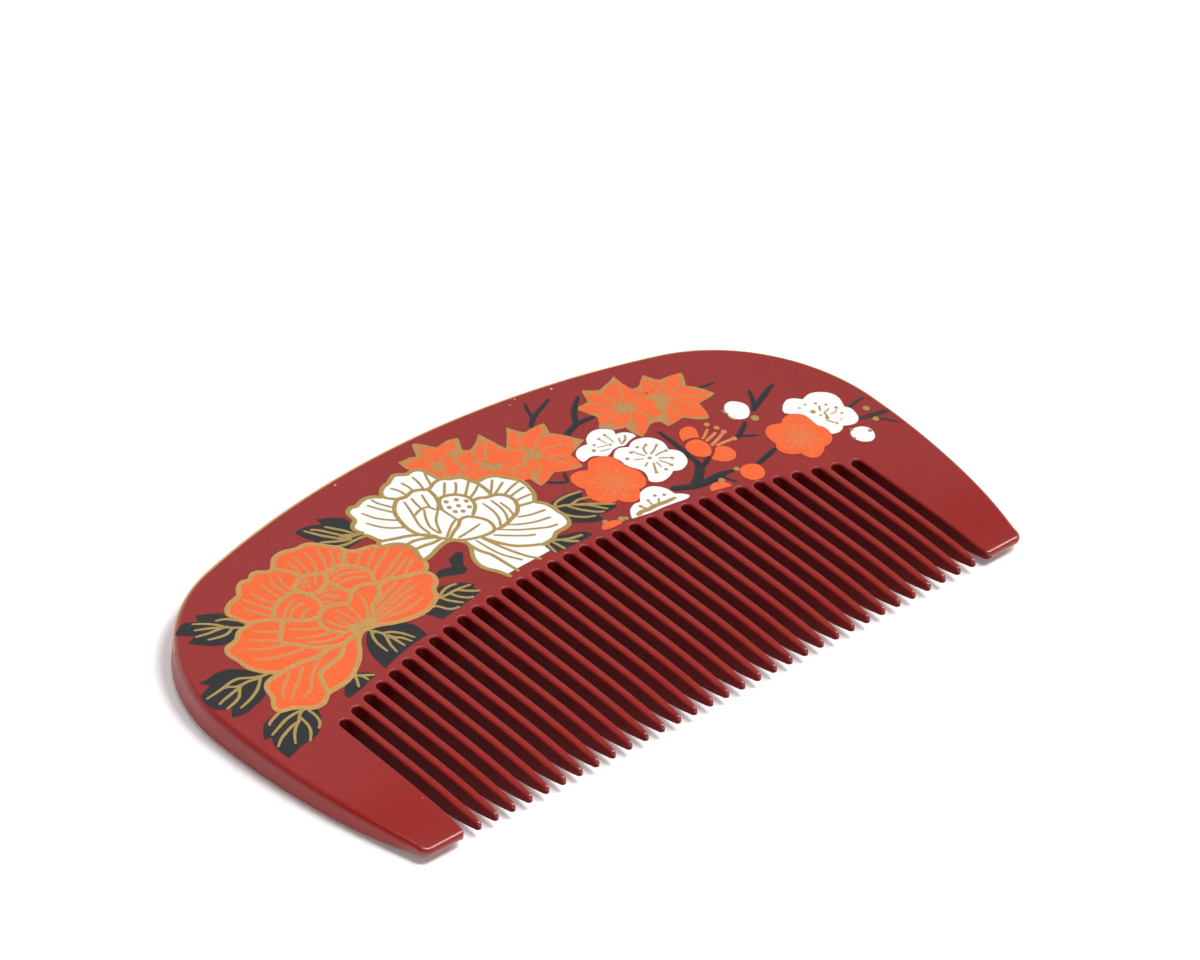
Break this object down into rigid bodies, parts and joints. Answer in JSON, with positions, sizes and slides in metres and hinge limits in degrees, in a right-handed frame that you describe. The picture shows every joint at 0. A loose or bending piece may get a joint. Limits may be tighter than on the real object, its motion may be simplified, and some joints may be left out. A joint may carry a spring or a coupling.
{
  "type": "lacquered hair comb",
  "caption": "Half-moon hair comb in one piece: fine tapered teeth between two broad guards, red lacquer with painted flowers and leaves on the upper face.",
  "frame": {"origin": "middle of the comb's box on the surface that it lies on", "axes": "+X along the row of teeth, +Y from the tooth tips towards the back, +Z out of the painted face"},
  "size_m": [0.1002, 0.0534, 0.0046],
  "materials": {
    "red_lacquer": "satin red lacquer, glossier on the teeth",
    "orange_paint": "opaque satin lacquer paint",
    "white_paint": "opaque satin lacquer paint",
    "black_paint": "opaque satin lacquer paint",
    "gold_paint": "matte gold powder paint, slightly raised"
  },
  "bodies": {
    "root": {"comb": "red_lacquer"}
  },
  "joints": []
}
